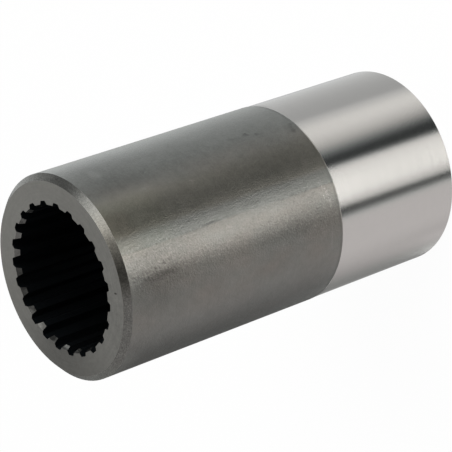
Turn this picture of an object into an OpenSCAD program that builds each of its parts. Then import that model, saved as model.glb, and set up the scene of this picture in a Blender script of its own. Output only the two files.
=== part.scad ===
// Splined drive coupling, a one-piece turned steel sleeve.
// It stands on its ground end, with its axis along +Z and its origin at the centre of that end.

/* [Sleeve] */
// Length of the whole sleeve along its axis
sleeve_l = 105; // [90:0.5:160]
// Diameter of the dark turned body
body_d = 50.8; // [48:0.1:70]
// Width of the chamfer around the splined end of the body
body_chamfer = 1.5; // [0.5:0.1:3]

/* [Ground end] */
// Length of the bright ground journal, from its end face to the shoulder
journal_l = 38.1; // [20:0.1:60]
// Diameter of the bright ground journal
journal_d = 50.6; // [46:0.1:50.7]
// Width of the edge break around the journal's end face
journal_break = 0.3; // [0.1:0.1:1.5]
// Length of the bevel at which the body meets the journal
shoulder_bevel = 0.3; // [0.1:0.1:2]

/* [Internal spline] */
// Number of spline teeth around the bore
teeth = 23; // [12:1:27]
// Module of the spline, the pitch diameter over the number of teeth
spline_module = 1.5875; // [1.2:0.0125:1.9]
// Angle of the tooth flanks at the pitch circle
flank_angle = 30; // [25:0.5:32]
// Width of a space between teeth, along the pitch circle
space_w = 2.6; // [2.3:0.05:2.9]
// Height of a tooth inward from the pitch circle to its tip
tip_h = 0.8; // [0.3:0.05:1]
// Depth of a space outward from the pitch circle to its root
root_h = 0.8; // [0.6:0.05:1.2]
// Radius of the fillet in each corner of a space
root_fillet = 0.2; // [0.1:0.05:0.4]
// Width of the lead-in chamfer on the tooth tips, across each mouth of the bore
mouth_chamfer = 0.7; // [0.2:0.05:1.2]
// Depth of the lead-in chamfer along the axis
mouth_depth = 1.2; // [0.3:0.1:3]

/* [Hidden] */
$fn = 96;

body_color = [0.42, 0.42, 0.4];
body_r = body_d / 2;
journal_r = journal_d / 2;

// Circles of the spline, all set from its pitch circle
pitch_r = spline_module * teeth / 2;
base_r = pitch_r * cos(flank_angle);
tip_r = pitch_r - tip_h;
root_r = pitch_r + root_h;
tooth_pitch = 360 / teeth;

// Points along one flank and along one root fillet
flank_steps = 5;
fillet_steps = 4;
// How far the cutting shapes run past the faces and edges that they cut
overrun = 1;

// Turned outline of half the sleeve, with r across and z up
module sleeve_outline() {
    polygon([
        [tip_r, mouth_depth],
        [tip_r + mouth_chamfer, 0],
        [journal_r - journal_break, 0],
        [journal_r, journal_break],
        [journal_r, journal_l],
        [body_r, journal_l + shoulder_bevel],
        [body_r, sleeve_l - body_chamfer],
        [body_r - body_chamfer, sleeve_l],
        [tip_r + mouth_chamfer, sleeve_l],
        [tip_r, sleeve_l - mouth_depth]
    ]);
}

// Pressure angle of the involute where it crosses radius r
function pressure_at(r) = acos(min(1, base_r / r));

// Involute function of an angle, in degrees
function involute(a) = tan(a) * 180 / PI - a;

// Half the angle that a space spans at radius r; its flanks are involutes of the base circle
function half_space(r) =
    space_w / 2 / pitch_r * 180 / PI + involute(flank_angle) - involute(pressure_at(r));

// Lean of a flank against the middle line of its space, at radius r
function lean_at(r) = pressure_at(r) - half_space(r);

// Point at radius r and angle a
function on_circle(r, a) = [r * cos(a), r * sin(a)];

// Radius at which the flank runs out into the root fillet
flank_end_r = root_r - root_fillet * (1 - sin(lean_at(root_r - root_fillet)));

// One flank, from the tooth tip outward to the root fillet
function flank() = [
    for (i = [0 : flank_steps])
        let (r = tip_r + (flank_end_r - tip_r) * i / flank_steps)
        on_circle(r, half_space(r))
];

// Root fillet, tangent to the flank at its outer end and to the flat root of the space
function fillet() =
    let (lean = lean_at(flank_end_r))
    let (start = on_circle(flank_end_r, half_space(flank_end_r)))
    let (centre = start - root_fillet * [sin(lean), cos(lean)])
    [
        for (i = [1 : fillet_steps])
            centre + on_circle(root_fillet, (90 - lean) * (1 - i / fillet_steps))
    ];

// One side of a space, from inside the bore out to its root
function space_side() = concat(
    [on_circle(tip_r - overrun, half_space(tip_r))],
    flank(),
    fillet()
);

// Mirror image of a list of points about the middle line, in reverse order
function mirrored(points) = [
    for (i = [len(points) - 1 : -1 : 0]) [points[i].x, -points[i].y]
];

// Section of the space between two teeth, with its middle line along +X
module space_section() {
    polygon(concat(space_side(), mirrored(space_side())));
}

// Broached spaces, all the way through the sleeve, one of them facing -Y
module spline_spaces() {
    for (i = [0 : teeth - 1])
        rotate([0, 0, i * tooth_pitch - 90])
            translate([0, 0, -overrun])
                linear_extrude(height = sleeve_l + 2 * overrun)
                    space_section();
}

// The sleeve: turned and ground outside, splined inside
module coupling_sleeve() {
    color(body_color)
        difference() {
            rotate_extrude()
                sleeve_outline();
            spline_spaces();
        }
}

coupling_sleeve();
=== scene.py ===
# Looks of the splined drive coupling: camera, studio and the finish of its one steel sleeve.
import math

import bpy
from mathutils import Matrix, Vector


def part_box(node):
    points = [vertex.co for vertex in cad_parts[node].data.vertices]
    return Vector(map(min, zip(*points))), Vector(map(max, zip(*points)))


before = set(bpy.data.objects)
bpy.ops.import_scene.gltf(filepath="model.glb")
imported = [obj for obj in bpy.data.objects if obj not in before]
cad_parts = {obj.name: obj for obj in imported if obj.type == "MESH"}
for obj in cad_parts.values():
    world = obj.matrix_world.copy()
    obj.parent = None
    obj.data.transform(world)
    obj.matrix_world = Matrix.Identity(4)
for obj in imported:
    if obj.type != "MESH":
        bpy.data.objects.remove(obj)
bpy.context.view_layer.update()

MM = 0.001

# Sizes of the sleeve in mm: the overall ones from its box, the others from the drawing, with the
# radii rounded up
SLEEVE_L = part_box("coupling_sleeve")[1].z / MM
BODY_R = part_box("coupling_sleeve")[1].x / MM
BODY_CHAMFER = 1.5
JOURNAL_L = 38.1
SPLINE_ROOT_R = 19.1
MOUTH_R = 18.16
MOUTH_DEPTH = 1.2
MOUTH_CHAMFER = 0.7

# Camera, fitted to the outlines in the photograph
CAMERA_AT = Vector((5.00, -477.32, 406.06)) * MM
CAMERA_AZIMUTH = 0.736
CAMERA_ELEVATION = 36.382
CAMERA_ROLL = -109.397
CAMERA_LENS = 191.50
SENSOR_WIDTH = 36

# Colours as the metal sends light back head-on
GROUND_STEEL = (0.575, 0.562, 0.545)
DARK_WARM = (0.247, 0.234, 0.214)
DARK_COOL = (0.235, 0.235, 0.219)
# Colour of the painted cool reflection beside the body's highlight
COOL_REFLECTION_COLOUR = (0.218, 0.222, 0.209)
DARK_BROWN = (0.213, 0.207, 0.182)
DARK_BLUE = (0.224, 0.232, 0.222)
DARK_LOW = (0.227, 0.232, 0.222)
# Straw oxide over the dark steel by the chamfer, and right at it, as factors on the steel's colour
STRAW = (0.99, 1.0, 0.96)
STRAW_END = (1.035, 1.0, 0.985)
RING_STEEL = (0.415, 0.405, 0.380)
CHAMFER_STEEL = (0.350, 0.350, 0.330)
CHAMFER_WARM = (0.364, 0.350, 0.312)
MOUTH_STEEL = (0.35, 0.35, 0.335)
BORE_BLACK = (0.026, 0.032, 0.037)

# Roughness of each finish
GROUND_ROUGH = 0.13
DARK_ROUGH = 0.37
CHAMFER_ROUGH = 0.24
RING_ROUGH = 0.50
BORE_ROUGH = 0.60


class Nodes:
    """Short names for the nodes of one tree. Each call returns the new node's main output."""

    def __init__(self, tree):
        self.tree = tree
        tree.nodes.clear()

    def new(self, kind, **settings):
        node = self.tree.nodes.new(kind)
        for name, value in settings.items():
            setattr(node, name, value)
        return node

    def put(self, socket, value):
        """Links a socket, or sets it if the value is a number or a colour."""
        if isinstance(value, bpy.types.NodeSocket):
            self.tree.links.new(value, socket)
        elif isinstance(value, tuple) and len(value) == 3 and socket.type == "RGBA":
            socket.default_value = (*value, 1)
        else:
            socket.default_value = value

    def math(self, operation, a, b=0.0):
        node = self.new("ShaderNodeMath", operation=operation)
        self.put(node.inputs[0], a)
        self.put(node.inputs[1], b)
        return node.outputs[0]

    def add(self, total, part, share):
        """The total plus a share of the part."""
        return self.math("ADD", total, self.math("MULTIPLY", part, share))

    def ramp(self, value, low, high):
        """Rises smoothly from 0 to 1 as value goes from low to high."""
        node = self.new("ShaderNodeMapRange", interpolation_type="SMOOTHSTEP")
        self.put(node.inputs["Value"], value)
        self.put(node.inputs["From Min"], low)
        self.put(node.inputs["From Max"], high)
        return node.outputs[0]

    def mix(self, factor, a, b):
        """Mix of two numbers."""
        node = self.new("ShaderNodeMix", data_type="FLOAT")
        self.put(node.inputs[0], factor)
        self.put(node.inputs[2], a)
        self.put(node.inputs[3], b)
        return node.outputs[0]

    def mix_colour(self, factor, a, b, blend="MIX"):
        node = self.new("ShaderNodeMix", data_type="RGBA", blend_type=blend)
        self.put(node.inputs[0], factor)
        self.put(node.inputs[6], a)
        self.put(node.inputs[7], b)
        return node.outputs[2]

    def window(self, value, start, full_start, full_end, end):
        """1 between the full values, falling smoothly to 0 at start and end."""
        rise = self.ramp(value, start, full_start)
        fall = self.ramp(value, end, full_end)
        return self.math("MULTIPLY", rise, fall)

    def windows(self, value, rows, total=0.0):
        """Adds windows to the total. Each row has a window's four places and its strength."""
        for start, full_start, full_end, end, strength in rows.values():
            total = self.add(total, self.window(value, start, full_start, full_end, end), strength)
        return total

    def noise(self, vector, scale, detail, roughness):
        node = self.new("ShaderNodeTexNoise")
        self.put(node.inputs["Vector"], vector)
        node.inputs["Scale"].default_value = scale
        node.inputs["Detail"].default_value = detail
        node.inputs["Roughness"].default_value = roughness
        return node.outputs["Fac"]

    def scaled(self, vector, x, y, z):
        """The vector with each axis multiplied by its own factor."""
        node = self.new("ShaderNodeVectorMath", operation="MULTIPLY")
        self.put(node.inputs[0], vector)
        self.put(node.inputs[1], (x, y, z))
        return node.outputs[0]

    def spot(self, place, centre, half, lean, soft):
        """A soft-edged ellipse on the unrolled wall: 1 at its centre and 0 outside."""
        node = self.new("ShaderNodeMapping", vector_type="TEXTURE")
        self.put(node.inputs["Vector"], place)
        node.inputs["Location"].default_value = (*centre, 0)
        node.inputs["Rotation"].default_value = (0, 0, math.radians(lean))
        node.inputs["Scale"].default_value = (*half, 1)
        length = self.new("ShaderNodeVectorMath", operation="LENGTH")
        self.put(length.inputs[0], node.outputs[0])
        return self.ramp(length.outputs["Value"], 1 + soft, 1 - soft)

    def combine(self, x, y, z):
        node = self.new("ShaderNodeCombineXYZ")
        for socket, value in zip(node.inputs, (x, y, z)):
            self.put(socket, value)
        return node.outputs[0]

    def separate(self, vector):
        node = self.new("ShaderNodeSeparateXYZ")
        self.put(node.inputs[0], vector)
        return node.outputs[0], node.outputs[1], node.outputs[2]


def azimuth_of(n, x, y):
    """Angle round the sleeve in degrees: 0 faces the camera's side, -Y, and +90 faces +X."""
    turned = n.math("ARCTAN2", x, n.math("MULTIPLY", y, -1.0))
    return n.math("DEGREES", turned)


def make_camera():
    """The camera looks down at the upper end and is rolled, so that the sleeve lies in the picture."""
    data = bpy.data.cameras.new("camera")
    data.sensor_fit = "HORIZONTAL"
    data.sensor_width = SENSOR_WIDTH
    data.lens = CAMERA_LENS
    data.clip_start = 0.01
    data.clip_end = 20
    cam = bpy.data.objects.new("camera", data)
    bpy.context.scene.collection.objects.link(cam)
    turn = (
        Matrix.Rotation(math.radians(CAMERA_AZIMUTH), 4, "Z")
        @ Matrix.Rotation(math.radians(90 - CAMERA_ELEVATION), 4, "X")
        @ Matrix.Rotation(math.radians(CAMERA_ROLL), 4, "Z")
    )
    cam.matrix_world = Matrix.Translation(CAMERA_AT) @ turn
    bpy.context.scene.camera = cam


# Studio that the metal reflects, as panels round it in three sets. Each panel has the azimuths at
# which it starts, is full, stops being full and ends, and its brightness, where 1 is white. The
# ground set fills the band that the ground end mirrors. The side set lies above and below that band,
# and the top set above the sides; the rougher body sees all three.
GROUND_BACKDROP = 0.74
GROUND_PANELS = {
    "far_side": (-185, -175, -164, -158, 0.58),
    "shaded_side": (-180, -158, -154, -77, 0.28),
    "gap_by_key": (-44, -34, -30.0, -27.8, 0.11),
    "key_strip": (-32.5, -13.5, 9, 25, 1.12),
    "black_card": (15.0, 21.5, 28, 52, 0.06),
    "second_strip": (44, 66, 70, 87, 1.06),
    "dim_backdrop": (85, 90, 94, 158, 0.56),
    "far_gap": (158, 180, 190, 200, 0.42),
}
SIDE_BACKDROP = 0.75
SIDE_PANELS = {
    "shaded_side": (-200, -190, -114, -95, 0.17),
    "gap_by_key": (-41, -38, -26, -22, 0.03),
    "key_strip": (-26, -16, -6, 18, 3.95),
    "black_card": (10, 18, 35, 106, 0.01),
    "far_light": (98, 147, 156, 166, 1.62),
    "far_gap": (154, 168, 190, 200, 0.10),
}
TOP_BACKDROP = 0.30
TOP_PANELS = {
    "black_card": (-59, -24, -20, 27, 0.04),
    "strip": (24, 49, 62, 100, 1.22),
    "dim_backdrop": (88, 93, 114, 129, 0.15),
    "far_light": (128, 155, 172, 195, 0.62),
    "rear_gap": (-200, -190, -172, -150, 0.14),
}
# How far the two edges of a panel of the ground set lean: degrees of azimuth for each degree of
# elevation above the middle of the band
GROUND_LEANS = {
    "gap_by_key": (0.0, 0.75),
    "key_strip": (0.75, 0.35),
    "black_card": (0.35, -1.3),
    "second_strip": (-1.3, 0.0),
}
BAND_MIDDLE = -40.5
# Bright patch low on the shaded side, and the elevations at which it starts, is full, stops and ends
LOW_PANELS = {
    "patch": (-168, -152, -118, -98, 0.87),
    "bright_part": (-180, -170, -157, -128, 1.85),
}
LOW_BAND = (-50, -47, -41.3, -40.8)
# Elevations in degrees at which the ground set starts, is full, stops being full and ends
GROUND_BAND = (-48, -44, -36.6, -35.2)
# Elevations between which the sides turn into the top
TOP_EDGE = (-24, -18)
# Colours of the light in the middle, on the shaded side, behind that side, and on the side of the
# far light. The shaded side's starts, is full, stops being full and ends at four azimuths, and the
# last two fade in between two.
KEY_TINT = (1.0, 0.992, 0.968)
SHADE_TINT = (1.018, 0.985, 0.983)
SHADE_TINTED = (-150, -118, -54, -38)
LOW_TINT = (0.980, 0.990, 0.972)
LOW_TINTED = (-118, -140)
FAR_TINT = (0.972, 0.990, 0.992)
FAR_TINTED = (70, 92)
# Colour of the little light that the black card and the gap give back, how much each takes of it,
# and the elevations between which it fades in downward
CARD_TINT = (0.90, 0.99, 1.0)
CARD_TINTED = {
    "gap_by_key": (-46, -38, -32, -26, 0.5),
    "black_card": (14, 22, 30, 46, 1.0),
}
CARD_TINT_FADE = (0, -20)
WHITE = (1.0, 1.0, 1.0)


def panels(n, azimuth, backdrop, rows, height=0.0, leans=None):
    """Brightness of the studio at an azimuth: each panel covers what lies behind it. The height in
    degrees above the middle of the band moves the edges that lean."""
    level = backdrop
    for name, (start, full_start, full_end, end, brightness) in rows.items():
        start_lean, end_lean = (leans or {}).get(name, (0.0, 0.0))
        from_start, from_end = azimuth, azimuth
        if start_lean:
            from_start = n.add(azimuth, height, -start_lean)
        if end_lean:
            from_end = n.add(azimuth, height, -end_lean)
        rise = n.ramp(from_start, start, full_start)
        fall = n.ramp(from_end, end, full_end)
        level = n.mix(n.math("MULTIPLY", rise, fall), level, brightness)
    return level


def make_world():
    """White to the camera, and the studio's panels to every other ray."""
    world = bpy.data.worlds.new("studio")
    bpy.context.scene.world = world
    world.use_nodes = True
    n = Nodes(world.node_tree)
    direction = n.new("ShaderNodeTexCoord").outputs["Generated"]
    x, y, z = n.separate(direction)
    azimuth = azimuth_of(n, x, y)
    elevation = n.math("DEGREES", n.math("ARCSINE", z))
    level = panels(n, azimuth, SIDE_BACKDROP, SIDE_PANELS)
    height = n.math("SUBTRACT", elevation, BAND_MIDDLE)
    ground = panels(n, azimuth, GROUND_BACKDROP, GROUND_PANELS, height, GROUND_LEANS)
    level = n.mix(n.window(elevation, *GROUND_BAND), level, ground)
    level = n.mix(n.window(elevation, *LOW_BAND), level, panels(n, azimuth, level, LOW_PANELS))
    top = panels(n, azimuth, TOP_BACKDROP, TOP_PANELS)
    level = n.mix(n.ramp(elevation, *TOP_EDGE), level, top)

    tint = n.mix_colour(n.window(azimuth, *SHADE_TINTED), KEY_TINT, SHADE_TINT)
    tint = n.mix_colour(n.ramp(azimuth, *LOW_TINTED), tint, LOW_TINT)
    tint = n.mix_colour(n.ramp(azimuth, *FAR_TINTED), tint, FAR_TINT)
    cards = n.math("MULTIPLY", n.windows(azimuth, CARD_TINTED), n.ramp(elevation, *CARD_TINT_FADE))
    tint = n.mix_colour(cards, tint, CARD_TINT)
    seen = n.new("ShaderNodeLightPath").outputs["Is Camera Ray"]
    background = n.new("ShaderNodeBackground")
    n.put(background.inputs["Color"], n.mix_colour(seen, tint, WHITE))
    n.put(background.inputs["Strength"], n.mix(seen, level, 1.0))
    out = n.new("ShaderNodeOutputWorld")
    n.put(out.inputs["Surface"], background.outputs[0])


FLOOR_SIZE = 6.0
FLOOR_COLOUR = (0.86, 0.86, 0.855)
# Share of its own white that the floor shows the camera; the rest is lit and holds the shadow
FLOOR_WHITE = 0.97


def make_floor():
    """A pale floor that shows white and keeps a soft shadow. The sleeve lies on its side in the
    photograph, so its wall reflects the studio where this floor would be, and the floor is left
    out of reflections."""
    mesh = bpy.data.meshes.new("floor")
    h = FLOOR_SIZE / 2
    mesh.from_pydata([(-h, -h, 0), (h, -h, 0), (h, h, 0), (-h, h, 0)], [], [(0, 1, 2, 3)])
    floor = bpy.data.objects.new("floor", mesh)
    bpy.context.scene.collection.objects.link(floor)
    floor.visible_glossy = False
    floor.visible_transmission = False

    material = bpy.data.materials.new("floor")
    material.use_nodes = True
    n = Nodes(material.node_tree)
    lit = n.new("ShaderNodeBsdfDiffuse")
    n.put(lit.inputs["Color"], FLOOR_COLOUR)
    white = n.new("ShaderNodeEmission")
    n.put(white.inputs["Color"], WHITE)
    n.put(white.inputs["Strength"], 1.0)
    seen = n.new("ShaderNodeLightPath").outputs["Is Camera Ray"]
    shown = n.new("ShaderNodeMixShader")
    n.put(shown.inputs[0], n.math("MULTIPLY", seen, FLOOR_WHITE))
    n.put(shown.inputs[1], lit.outputs[0])
    n.put(shown.inputs[2], white.outputs[0])
    out = n.new("ShaderNodeOutputMaterial")
    n.put(out.inputs["Surface"], shown.outputs[0])
    mesh.materials.append(material)


LAMP_AT = Vector((0.45, -0.25, 0.9))
LAMP_SIZE = 0.7
LAMP_POWER = 9.0


def make_lamp():
    """One large soft lamp for the floor's shadow; the panels stand for it in the metal."""
    data = bpy.data.lights.new("soft_lamp", "AREA")
    data.shape = "SQUARE"
    data.size = LAMP_SIZE
    data.energy = LAMP_POWER
    lamp = bpy.data.objects.new("soft_lamp", data)
    lamp.location = LAMP_AT
    lamp.rotation_mode = "QUATERNION"
    middle = Vector((0, 0, SLEEVE_L / 2)) * MM
    lamp.rotation_quaternion = (middle - LAMP_AT).to_track_quat("-Z", "Y")
    lamp.visible_glossy = False
    bpy.context.scene.collection.objects.link(lamp)


# Marks on the wall that the photograph shows: azimuth in degrees, height in mm, half sizes round
# the wall and along it in mm, lean in degrees and strength
DARK_MARKS = {
    "smudge": (46.0, 52.9, 0.6, 0.9, -25, 0.34),
    "smudge_end": (43.6, 50.4, 0.35, 0.5, -20, 0.20),
    "smudge_trail": (45.6, 56.6, 0.5, 2.0, -12, 0.11),
    "shoulder_smudge": (40.0, 40.6, 1.5, 1.6, -20, 0.13),
    "shoulder_arc": (40.2, 40.3, 1.8, 0.42, -12, 0.16),
    "shoulder_blot": (38.0, 40.4, 0.6, 0.7, 0, 0.10),
    "shoulder_fleck": (43.3, 39.4, 0.4, 0.5, 0, 0.22),
    "streak": (2.6, 77.3, 0.22, 2.2, 2, 0.26),
    "streak_far": (5.0, 63.8, 0.4, 2.6, 2, 0.14),
    "rub": (-14.6, 95.5, 0.9, 4.0, 3, 0.18),
    "rub_end": (-14.6, 91.0, 0.7, 2.6, 0, 0.08),
    "edge_stain": (17.5, 100.0, 2.6, 4.0, 0, 0.10),
    "lower_rub": (-27.0, 97.0, 3.5, 6.0, 0, 0.07),
}
LIGHT_MARKS = {
    "fleck": (27.9, 76.0, 0.25, 0.9, -20, 0.26),
    "fleck_side": (32.6, 88.3, 0.2, 1.2, 0, 0.12),
    "fleck_small": (42.6, 85.0, 0.25, 0.4, 0, 0.14),
    "haze": (53.4, 96.5, 1.8, 1.3, 0, 0.18),
    "shoulder_streak": (-28.0, 41.7, 2.8, 0.22, 0, 0.12),
    "shoulder_scratch": (-8.5, 41.0, 1.1, 0.25, 12, 0.30),
}
# Broad soft patches, each fading from its middle, given like the marks; the half sizes are those
# at half strength. They are mostly painted light and shade that move and shape the highlight and
# its flanks, and partly changes in the finish.
PAINTED_LIGHT_AND_FINISH = {
    "rub_and_shade_by_end": (-15.0, 94.0, 2.0, 8.0, 0, -0.27),
    "shaded_line": (-16.5, 66.0, 1.3, 12.0, 0, -0.13),
    "shaded_by_shoulder": (-13.5, 45.0, 2.6, 12.0, 0, -0.23),
    "key_by_shoulder": (-1.5, 42.0, 3.5, 6.0, 0, -0.07),
    "key_middle": (-6.0, 77.0, 2.2, 8.0, 0, 0.13),
    "key_far_middle": (-2.0, 62.0, 3.0, 8.0, 0, 0.07),
    "key_by_end": (5.5, 96.0, 2.1, 7.0, 0, 0.20),
    "low_middle": (-24.0, 71.0, 2.8, 15.0, 0, 0.10),
    "low_side": (-67.0, 55.0, 6.0, 26.0, 0, -0.32),
    "band_by_shoulder": (18.0, 43.0, 2.5, 5.0, 0, 0.10),
    "band_by_end": (20.0, 98.0, 2.5, 5.0, 0, 0.14),
    "upper_middle": (26.5, 79.0, 2.2, 7.0, 0, 0.14),
    "shaded_under_band": (12.0, 94.0, 1.1, 9.0, 0, -0.10),
    "upper_by_end": (29.5, 94.0, 2.0, 8.0, 0, 0.30),
    "shaded_middle": (41.0, 70.0, 2.2, 16.0, 0, -0.08),
    "shaded_by_end": (41.5, 94.0, 2.4, 10.0, 0, -0.20),
    "far_by_end": (61.0, 95.0, 4.6, 8.0, 0, -0.14),
    "far_middle": (69.0, 62.0, 4.6, 17.0, 0, 0.09),
    "upper_by_shoulder": (31.0, 47.0, 5.0, 11.0, 0, -0.10),
}
# Scuff at the shoulder, given like the marks, and the levels of a pattern at which its flecks start
# and are full
SCUFF = {"scuff": (-1.5, 42.0, 3.0, 1.3, 8, 0.55)}
SCUFF_FLECKS = (0.02, 0.16)
# How far in mm the grain makes the edges of the marks ragged
RAGGED = 1.6

# Painted reflection: a cooler part of the body beside the highlight. Azimuth of its edge at both
# its ends, how far it shifts in between, and the heights in mm over which it shifts out and back;
# then the azimuths at which it is gone and full
COOL_REFLECTION_EDGE = 1.3
COOL_REFLECTION_SHIFT = 0.8
COOL_REFLECTION_SHIFT_BACK = 0.5
COOL_REFLECTION_BENDS = (92, 66, 56)
COOL_REFLECTION_FADE = (12.0, 8.0)
# How far in degrees the painted reflection's edge wavers and how far it is ragged, the degrees
# over which it is crisp, those of the dark line painted on it, the levels of a pattern at which
# that line is gone and full, and its strength
COOL_REFLECTION_WAVER = 2.2
COOL_REFLECTION_RAGGED = 1.5
COOL_REFLECTION_SOFT = (-0.5, 0.5)
REFLECTION_EDGE_LINE = (-0.7, -0.2, 0.2, 0.9)
REFLECTION_EDGE_LINE_BROKEN = (-0.14, 0.10)
REFLECTION_EDGE_LINE_DARK = 0.16

# Azimuths of the coarser rubbed grain, the heights in mm between which it grows to full and its
# share below them, and the strength of its grain and of its strokes
RUBBED = (-20, -12, 3, 10)
RUBBED_HEIGHTS = (76, 92)
RUBBED_LEAST = 0.25
RUBBED_GRAIN = 0.7
RUBBED_STROKES = 0.9
# Lean of the strokes in that grain, their length and width in mm, and the scale, detail and
# roughness of their noise
STROKE_LEAN = 35
STROKE_SIZE = (1.1, 0.28, 1)
STROKE_NOISE = (1.0, 2, 0.6)
# Strength of the body's grain on the shaded side, and what the lit side adds to it
GRAIN_LEAST = 0.15
GRAIN_ADDED = {"lit_side": (-25, -5, 120, 175, 0.32)}

# Painted light: the body's two ends are painted brighter. Azimuths and strengths by the chamfer,
# and the heights in mm between which it grows; then the heights by the shoulder, its strength on
# the rear and on the front, and the azimuths that count as front and those of the highlight,
# which has none
LIT_END = {
    "low_side": (-120, -90, -67, -52, 0.54),
    "lit_side": (-10, -2, 28, 36, 0.20),
}
LIT_END_HEIGHTS = (96, 104)
SHOULDER_END_HEIGHTS = (56, 39)
SHOULDER_END_REAR = 0.18
SHOULDER_END_FRONT = 0.04
FRONT = (-72, -60, 120, 175)
HIGHLIGHT = (-24, -16, 4, 14)

# Painted shade in a dark line above the shoulder: mm above it, strength, and the azimuths at
# which it is fainter or, with a strength below 0, darker
SHOULDER_LINE = (0.2, 0.4, 0.5, 1.3)
SHOULDER_PAINTED_SHADE = 0.16
SHOULDER_FADES = {
    "upper_face": (6, 20, 40, 54, 0.75),
    "upper_side": (42, 54, 80, 95, -0.6),
    "low_side": (-95, -80, -66, -56, -0.6),
}
# Painted highlight on the bevel at the shoulder, by azimuth, and mm above the shoulder
BEVEL_PAINTED_HIGHLIGHT = {
    "all_front": (-24, -14, 34, 44, 0.44),
    "upper_face": (18, 24, 34, 42, 1.1),
}
BEVEL_BAND = (-0.05, 0.02, 0.28, 0.45)
# Painted shadow of the step: the journal is darker under the shoulder at both outlines; and the
# mm above the shoulder, here below it, between which it grows
UNDER_SHOULDER_SHADOW = {
    "upper_side": (62, 76, 95, 110, -0.30),
    "low_side": (-110, -95, -76, -60, -0.30),
}
UNDER_SHOULDER_SHADOW_BAND = (-2.1, -0.1)

# Speckle of the chamfer on most of it and on its lit part, with the azimuths of that part, and
# painted shade at its outlines and a painted highlight
CHAMFER_SPECKLE = 2.3
CHAMFER_SPECKLE_LIT = 1.1
CHAMFER_LIT = (0, 14, 34, 50)
CHAMFER_SHADES = {
    "rear_upper": (110, 124, 150, 172, -0.24),
    "rear_low": (-172, -150, -120, -108, -0.24),
    "glint": (32, 40, 50, 58, 0.09),
}
# Rubbed bright edges: mm below the chamfer's lower edge, and mm further out than the rim of the
# end face, with their strengths, and the depth in mm above which the second shows
CHAMFER_EDGE = (-0.1, 0.0, 0.08, 0.25)
CHAMFER_EDGE_LIGHT = 0.30
FACE_EDGE = (-0.18, -0.06, 0.04, 0.12)
FACE_EDGE_LIGHT = 0.12
FACE_EDGE_DEPTH = 0.2
# Azimuths of the warmer part of the chamfer
CHAMFER_WARMED = (-28, -6, 14, 34)

# Azimuths over which the cut shows up to twice as much on the end face, painted shade on one side
# of that face and painted light on another, and its small pit: azimuth and radius in mm, factors
# on the distance from it round the axis and across, the squared distances at which it ends and is
# full, and its strength
DEEPER_CUT = (-80, -48, -12, 12)
FACE_SHADES = {
    "shaded_part": (-172, -126, -114, -60, -0.30),
    "lit_part": (50, 110, 165, 180, 0.08),
}
FACE_PIT = (-19.2, 21.46)
PIT_SQUEEZE = (1.3, 0.65)
PIT_FADE = (0.16, 0.03)
PIT_DARK = 0.7

# Painted shade on one side of the spline's mouth and on single teeth there, painted light on
# others, and a painted glint on one tooth at its inner edge, which starts and is full at two
# depths in mm; then the least brightness of the mouth
MOUTH_SHADES = {
    "mouth_shaded_side": (-184, -176, -136, -128, -0.62),
    "low_shaded_tooth": (-143, -139, -129, -125, -0.32),
    "low_lit_teeth": (-111, -107, -81, -77, 0.55),
    "rear_shaded_tooth": (171, 174, 181, 190, -0.35),
    "upper_shaded_tooth": (78, 82, 92, 96, -0.42),
    "upper_shaded_tooth_far": (110, 114, 122, 126, -0.34),
}
BRIGHT_TOOTH = (-124, -121, -114, -111)
BRIGHT_TOOTH_DEPTHS = (0.3, 0.7)
BRIGHT_TOOTH_LIGHT = 1.7
MOUTH_LEAST = 0.1

# Parts of the body whose steel takes another colour: azimuths, share and colour
BODY_TINTS = {
    "brown": (6, 13, 24, 38, 0.9, DARK_BROWN),
    "blue": (28, 46, 120, 175, 0.9, DARK_BLUE),
    "low": (-120, -90, -50, -30, 0.65, DARK_LOW),
}
# Where the straw oxide lies: heights in mm between which it fades in, azimuths and factors
STRAW_PATCHES = {
    "by_chamfer": ((83, 92), (-4, 6, 26, 38), STRAW),
    "at_chamfer": ((95, 100), (-2, 4, 20, 27), STRAW_END),
}
# Levels of the slow change of hue at which the steel is fully cool and fully warm
HUES = (-0.2, 0.2)

# Noise in the metal, centred on 0: factors on its coordinates in mm, scale, detail and roughness
PATTERNS = {
    "grain": ((1, 1, 1), 1.9, 3, 0.75),
    "coarse": ((1, 1, 1), 0.55, 2, 0.6),
    "fine": ((1, 1, 1), 3.0, 2, 0.7),
    "lines": ((0.10, 0.10, 2.3), 1.0, 3, 0.7),
    "blotch": ((1, 1, 1), 0.10, 3, 0.55),
    "hue": ((1, 1, 0.5), 0.14, 2, 0.5),
    "flecks": ((1, 1, 0.7), 2.6, 2, 0.6),
    "breaks": ((1, 1, 1), 0.35, 2, 0.5),
    "waver": ((0, 0, 0.25), 1.0, 3, 0.6),
}
# Lathe rings on the end faces: a noise by radius, how fast it changes in x and y against that, and
# its scale, detail and roughness
RING_DRIFT = 0.06
RING_NOISE = (2.2, 3, 0.7)
# How much each pattern changes a zone's brightness, as a share
SHADES = {
    "body": {"coarse": 0.34, "lines": 0.14, "blotch": 0.22},
    "journal": {"lines": 0.045, "grain": 0.06, "coarse": 0.03},
    "chamfer": {"coarse": 0.28},
    "face": {"grain": 0.27, "rings": 0.26, "coarse": 0.18},
    "mouth": {"coarse": 1.3},
}
# How much each pattern changes a zone's roughness
ROUGHENING = {
    "body": {"coarse": 0.10},
    "journal": {"lines": 0.05},
    "chamfer": {"grain": 0.08},
}
# Relief of each pattern in mm
RELIEF = {
    "body": {"grain": 0.085, "lines": 0.012},
    "journal": {"grain": 0.010, "lines": 0.004},
    "chamfer": {"grain": 0.018},
    "face": {"grain": 0.020, "rings": 0.010},
}
# Margins in mm within which a place counts as on an end face and as on the mouth's cone
FACE_MARGIN = 0.01
CONE_MARGIN = 0.02


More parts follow.
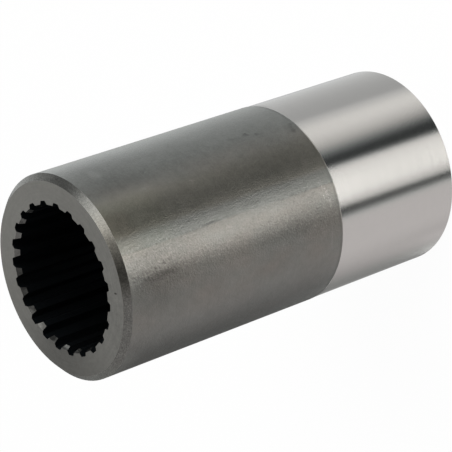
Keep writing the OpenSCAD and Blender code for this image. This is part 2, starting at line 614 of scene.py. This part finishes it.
class Steel(Nodes):
    """Nodes of the steel, with the places on the sleeve and the patterns that its zones share. The
    height above the ground end, the depth below the upper end and the radius are in mm."""

    def __init__(self, tree):
        super().__init__(tree)
        position = self.new("ShaderNodeTexCoord").outputs["Object"]
        self.in_mm = self.scaled(position, 1 / MM, 1 / MM, 1 / MM)
        x, y, self.height = self.separate(self.in_mm)
        squares = self.math("ADD", self.math("MULTIPLY", x, x), self.math("MULTIPLY", y, y))
        self.radius = self.math("SQRT", squares)
        self.azimuth = azimuth_of(self, x, y)
        self.depth = self.math("SUBTRACT", SLEEVE_L, self.height)
        self.above_shoulder = self.math("SUBTRACT", self.height, JOURNAL_L)

        self.patterns = {}
        for name, (stretch, scale, detail, roughness) in PATTERNS.items():
            self.centre(name, self.scaled(self.in_mm, *stretch), scale, detail, roughness)
        drift = self.scaled(self.combine(x, y, self.radius), RING_DRIFT, RING_DRIFT, 1.0)
        self.centre("rings", drift, *RING_NOISE)

        # Unrolled wall, in mm round it and along it, and the same with ragged edges for the marks
        around = self.math("MULTIPLY", self.azimuth, math.radians(BODY_R))
        self.unrolled = self.combine(around, self.height, 0.0)
        ragged_around = self.add(around, self.patterns["grain"], RAGGED)
        ragged_height = self.add(self.height, self.patterns["grain"], -RAGGED)
        self.place = self.combine(ragged_around, ragged_height, 0.0)

    def centre(self, name, vector, scale, detail, roughness):
        """Keeps a noise under its name, centred on 0."""
        noise = self.noise(vector, scale, detail, roughness)
        self.patterns[name] = self.math("SUBTRACT", noise, 0.5)

    def patterned(self, shares, total=0.0):
        """Adds to the total the patterns that the shares name."""
        for name, share in shares.items():
            total = self.add(total, self.patterns[name], share)
        return total

    def marks(self, rows, soft=0.5):
        """Sum of the marks on the wall."""
        total = 0.0
        for at, level, half_around, half_along, lean, strength in rows.values():
            centre = (math.radians(at) * BODY_R, level)
            spot = self.spot(self.place, centre, (half_around, half_along), lean, soft)
            total = self.add(total, spot, strength)
        return total


def zones_of(n):
    """Zones of the surface, each 1 on it and 0 elsewhere. The body is what they leave over."""
    end_depth = n.math("MINIMUM", n.depth, n.height)
    on_face = n.math("LESS_THAN", end_depth, FACE_MARGIN)
    off_face = n.math("SUBTRACT", 1.0, on_face)
    on_journal = n.math("LESS_THAN", n.height, JOURNAL_L)
    on_chamfer = n.math("MULTIPLY", n.math("LESS_THAN", n.depth, BODY_CHAMFER), off_face)
    cone_r = n.add(MOUTH_R, end_depth, -MOUTH_CHAMFER / MOUTH_DEPTH)
    off_cone = n.math("ABSOLUTE", n.math("SUBTRACT", n.radius, cone_r))
    near_mouth = n.math("LESS_THAN", end_depth, MOUTH_DEPTH + FACE_MARGIN)
    on_mouth = n.math("MULTIPLY", n.math("LESS_THAN", off_cone, CONE_MARGIN), near_mouth)
    on_mouth = n.math("MULTIPLY", on_mouth, off_face)
    in_bore = n.math("MULTIPLY", n.math("LESS_THAN", n.radius, SPLINE_ROOT_R), off_face)
    in_bore = n.math("MULTIPLY", in_bore, n.math("SUBTRACT", 1.0, on_mouth))
    return {
        "journal": on_journal,
        "chamfer": on_chamfer,
        "face": on_face,
        "mouth": on_mouth,
        "bore": in_bore,
    }


def by_zone(mixer, zones, body, **values):
    """The body's value, with each other zone's own value laid over it."""
    result = body
    for name, zone in zones.items():
        result = mixer(zone, result, values[name])
    return result


def cool_reflection_of(n):
    """Painted reflection: a cooler part of the body beside the highlight, with a crisp wavering
    edge, and the broken dark line painted on that edge."""
    beyond = n.add(n.azimuth, n.ramp(n.height, COOL_REFLECTION_BENDS[0], COOL_REFLECTION_BENDS[1]), -COOL_REFLECTION_SHIFT)
    beyond = n.add(beyond, n.ramp(n.height, COOL_REFLECTION_BENDS[1], COOL_REFLECTION_BENDS[2]), COOL_REFLECTION_SHIFT_BACK)
    beyond = n.add(beyond, n.patterns["waver"], COOL_REFLECTION_WAVER)
    beyond = n.add(beyond, n.patterns["grain"], COOL_REFLECTION_RAGGED)
    beyond = n.math("SUBTRACT", beyond, COOL_REFLECTION_EDGE)
    cool_reflection = n.math("MULTIPLY", n.ramp(beyond, *COOL_REFLECTION_SOFT), n.ramp(n.azimuth, *COOL_REFLECTION_FADE))
    broken = n.ramp(n.patterns["breaks"], *REFLECTION_EDGE_LINE_BROKEN)
    return cool_reflection, n.math("MULTIPLY", n.window(beyond, *REFLECTION_EDGE_LINE), broken)


def body_shade(n, reflection_edge_line):
    """Brightness of the body against its own colour, with painted light and shade."""
    rubbed = n.mix(n.ramp(n.height, *RUBBED_HEIGHTS), RUBBED_LEAST, 1.0)
    rubbed = n.math("MULTIPLY", rubbed, n.window(n.azimuth, *RUBBED))
    amount = n.windows(n.azimuth, GRAIN_ADDED, GRAIN_LEAST)
    amount = n.add(amount, rubbed, RUBBED_GRAIN)
    shade = n.add(1.0, n.patterns["grain"], amount)

    # Fine slanting strokes across the rubbed part
    slant = n.new("ShaderNodeMapping", vector_type="TEXTURE")
    n.put(slant.inputs["Vector"], n.unrolled)
    slant.inputs["Rotation"].default_value = (0, 0, math.radians(STROKE_LEAN))
    slant.inputs["Scale"].default_value = STROKE_SIZE
    strokes = n.math("SUBTRACT", n.noise(slant.outputs[0], *STROKE_NOISE), 0.5)
    shade = n.add(shade, n.math("MULTIPLY", strokes, rubbed), RUBBED_STROKES)
    shade = n.patterned(SHADES["body"], shade)

    # Painted light, brighter towards the chamfer and towards the shoulder
    lit_end = n.windows(n.azimuth, LIT_END)
    shade = n.add(shade, lit_end, n.ramp(n.height, *LIT_END_HEIGHTS))
    shoulder_end = n.mix(n.window(n.azimuth, *FRONT), SHOULDER_END_REAR, SHOULDER_END_FRONT)
    off_highlight = n.math("SUBTRACT", 1.0, n.window(n.azimuth, *HIGHLIGHT))
    shoulder_end = n.math("MULTIPLY", shoulder_end, off_highlight)
    shade = n.add(shade, shoulder_end, n.ramp(n.height, *SHOULDER_END_HEIGHTS))

    # Painted dark line on the painted reflection's edge, then the marks and the scuff
    shade = n.add(shade, reflection_edge_line, -REFLECTION_EDGE_LINE_DARK)
    shade = n.math("SUBTRACT", shade, n.marks(DARK_MARKS))
    shade = n.math("ADD", shade, n.marks(LIGHT_MARKS))
    # Broad soft patches: mostly painted light and shade, partly changes in the finish
    shade = n.math("ADD", shade, n.marks(PAINTED_LIGHT_AND_FINISH, soft=1.0))
    flecks = n.ramp(n.patterns["flecks"], *SCUFF_FLECKS)
    shade = n.add(shade, n.marks(SCUFF), flecks)

    # Painted shade in a dark line, and a painted highlight on the bevel, at the shoulder
    kept = n.math("SUBTRACT", 1.0, n.windows(n.azimuth, SHOULDER_FADES))
    line = n.math("MULTIPLY", n.window(n.above_shoulder, *SHOULDER_LINE), kept)
    shade = n.add(shade, line, -SHOULDER_PAINTED_SHADE)
    bevel_highlight = n.windows(n.azimuth, BEVEL_PAINTED_HIGHLIGHT)
    return n.add(shade, bevel_highlight, n.window(n.above_shoulder, *BEVEL_BAND))


def journal_shade(n):
    """Brightness of the ground journal against its own colour."""
    shade = n.patterned(SHADES["journal"], 1.0)
    # Painted shadow of the step under the shoulder
    step_shadow = n.ramp(n.above_shoulder, *UNDER_SHOULDER_SHADOW_BAND)
    return n.add(shade, n.windows(n.azimuth, UNDER_SHOULDER_SHADOW), step_shadow)


def chamfer_shade(n):
    """Brightness of the chamfer against its own colour."""
    speckle = n.mix(n.window(n.azimuth, *CHAMFER_LIT), CHAMFER_SPECKLE, CHAMFER_SPECKLE_LIT)
    shade = n.add(1.0, n.patterns["fine"], speckle)
    shade = n.patterned(SHADES["chamfer"], shade)
    below_edge = n.math("SUBTRACT", n.depth, BODY_CHAMFER)
    shade = n.add(shade, n.window(below_edge, *CHAMFER_EDGE), CHAMFER_EDGE_LIGHT)
    # Painted shade at the chamfer's outlines and a painted highlight
    return n.windows(n.azimuth, CHAMFER_SHADES, shade)


def face_shade(n):
    """Brightness of the end faces against their own colour."""
    deeper = n.math("ADD", 1.0, n.window(n.azimuth, *DEEPER_CUT))
    shade = n.add(1.0, n.patterned(SHADES["face"]), deeper)
    # Painted shade on one side of the end face and painted light on another
    shade = n.windows(n.azimuth, FACE_SHADES, shade)
    beyond_rim = n.math("SUBTRACT", n.radius, BODY_R - BODY_CHAMFER)
    edge = n.window(beyond_rim, *FACE_EDGE)
    on_upper_end = n.math("LESS_THAN", n.depth, FACE_EDGE_DEPTH)
    shade = n.add(shade, n.math("MULTIPLY", edge, on_upper_end), FACE_EDGE_LIGHT)

    pit_azimuth, pit_radius = FACE_PIT
    pit_around = n.math("SUBTRACT", n.azimuth, pit_azimuth)
    pit_around = n.math("MULTIPLY", pit_around, math.radians(pit_radius) * PIT_SQUEEZE[0])
    pit_across = n.math("MULTIPLY", n.math("SUBTRACT", n.radius, pit_radius), PIT_SQUEEZE[1])
    pit_off = n.math("MULTIPLY", pit_across, pit_across)
    pit_off = n.math("ADD", pit_off, n.math("MULTIPLY", pit_around, pit_around))
    return n.add(shade, n.ramp(pit_off, *PIT_FADE), -PIT_DARK)


def mouth_shade(n):
    """Brightness of the spline's mouth against its own colour."""
    shade = n.patterned(SHADES["mouth"], 1.0)
    # Painted shade and light on the mouth's teeth, then a painted glint
    shade = n.windows(n.azimuth, MOUTH_SHADES, shade)
    inner_edge = n.ramp(n.depth, *BRIGHT_TOOTH_DEPTHS)
    glint = n.math("MULTIPLY", n.window(n.azimuth, *BRIGHT_TOOTH), inner_edge)
    shade = n.add(shade, glint, BRIGHT_TOOTH_LIGHT)
    return n.math("MAXIMUM", shade, MOUTH_LEAST)


def body_colour(n, cool_reflection):
    """Steel that changes slowly between cool and warm, under its tints, the painted cool reflection
    and the straw.
    """
    body = n.mix_colour(n.ramp(n.patterns["hue"], *HUES), DARK_COOL, DARK_WARM)
    for start, full_start, full_end, end, share, tint in BODY_TINTS.values():
        cover = n.math("MULTIPLY", n.window(n.azimuth, start, full_start, full_end, end), share)
        body = n.mix_colour(cover, body, tint)
    body = n.mix_colour(cool_reflection, body, COOL_REFLECTION_COLOUR)
    for heights, azimuths, tint in STRAW_PATCHES.values():
        cover = n.math("MULTIPLY", n.ramp(n.height, *heights), n.window(n.azimuth, *azimuths))
        body = n.mix_colour(cover, body, tint, blend="MULTIPLY")
    return body


def make_sleeve_material():
    """One steel with several finishes, told apart by where they lie on the sleeve."""
    material = bpy.data.materials.new("sleeve_steel")
    material.use_nodes = True
    n = Steel(material.node_tree)
    zones = zones_of(n)
    cool_reflection, reflection_edge_line = cool_reflection_of(n)

    shade = by_zone(
        n.mix,
        zones,
        body_shade(n, reflection_edge_line),
        journal=journal_shade(n),
        chamfer=chamfer_shade(n),
        face=face_shade(n),
        mouth=mouth_shade(n),
        bore=1.0,
    )
    colour = by_zone(
        n.mix_colour,
        zones,
        body_colour(n, cool_reflection),
        journal=GROUND_STEEL,
        chamfer=n.mix_colour(n.window(n.azimuth, *CHAMFER_WARMED), CHAMFER_STEEL, CHAMFER_WARM),
        face=RING_STEEL,
        mouth=MOUTH_STEEL,
        bore=BORE_BLACK,
    )
    colour = n.mix_colour(1.0, colour, n.combine(shade, shade, shade), blend="MULTIPLY")
    rough = by_zone(
        n.mix,
        zones,
        n.patterned(ROUGHENING["body"], DARK_ROUGH),
        journal=n.patterned(ROUGHENING["journal"], GROUND_ROUGH),
        chamfer=n.patterned(ROUGHENING["chamfer"], CHAMFER_ROUGH),
        face=RING_ROUGH,
        mouth=CHAMFER_ROUGH,
        bore=BORE_ROUGH,
    )
    relief = by_zone(
        n.mix,
        zones,
        n.patterned(RELIEF["body"]),
        journal=n.patterned(RELIEF["journal"]),
        chamfer=n.patterned(RELIEF["chamfer"]),
        face=n.patterned(RELIEF["face"]),
        mouth=n.patterned(RELIEF["chamfer"]),
        bore=0.0,
    )
    bump = n.new("ShaderNodeBump")
    bump.inputs["Strength"].default_value = 1.0
    bump.inputs["Distance"].default_value = MM
    n.put(bump.inputs["Height"], relief)

    steel = n.new("ShaderNodeBsdfPrincipled")
    steel.inputs["Metallic"].default_value = 1.0
    n.put(steel.inputs["Base Color"], colour)
    n.put(steel.inputs["Roughness"], rough)
    n.put(steel.inputs["Normal"], bump.outputs[0])
    out = n.new("ShaderNodeOutputMaterial")
    n.put(out.inputs["Surface"], steel.outputs[0])
    return material


make_camera()
make_world()
make_floor()
make_lamp()
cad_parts["coupling_sleeve"].material_slots[0].material = make_sleeve_material()
bpy.context.scene.view_settings.view_transform = "Standard"
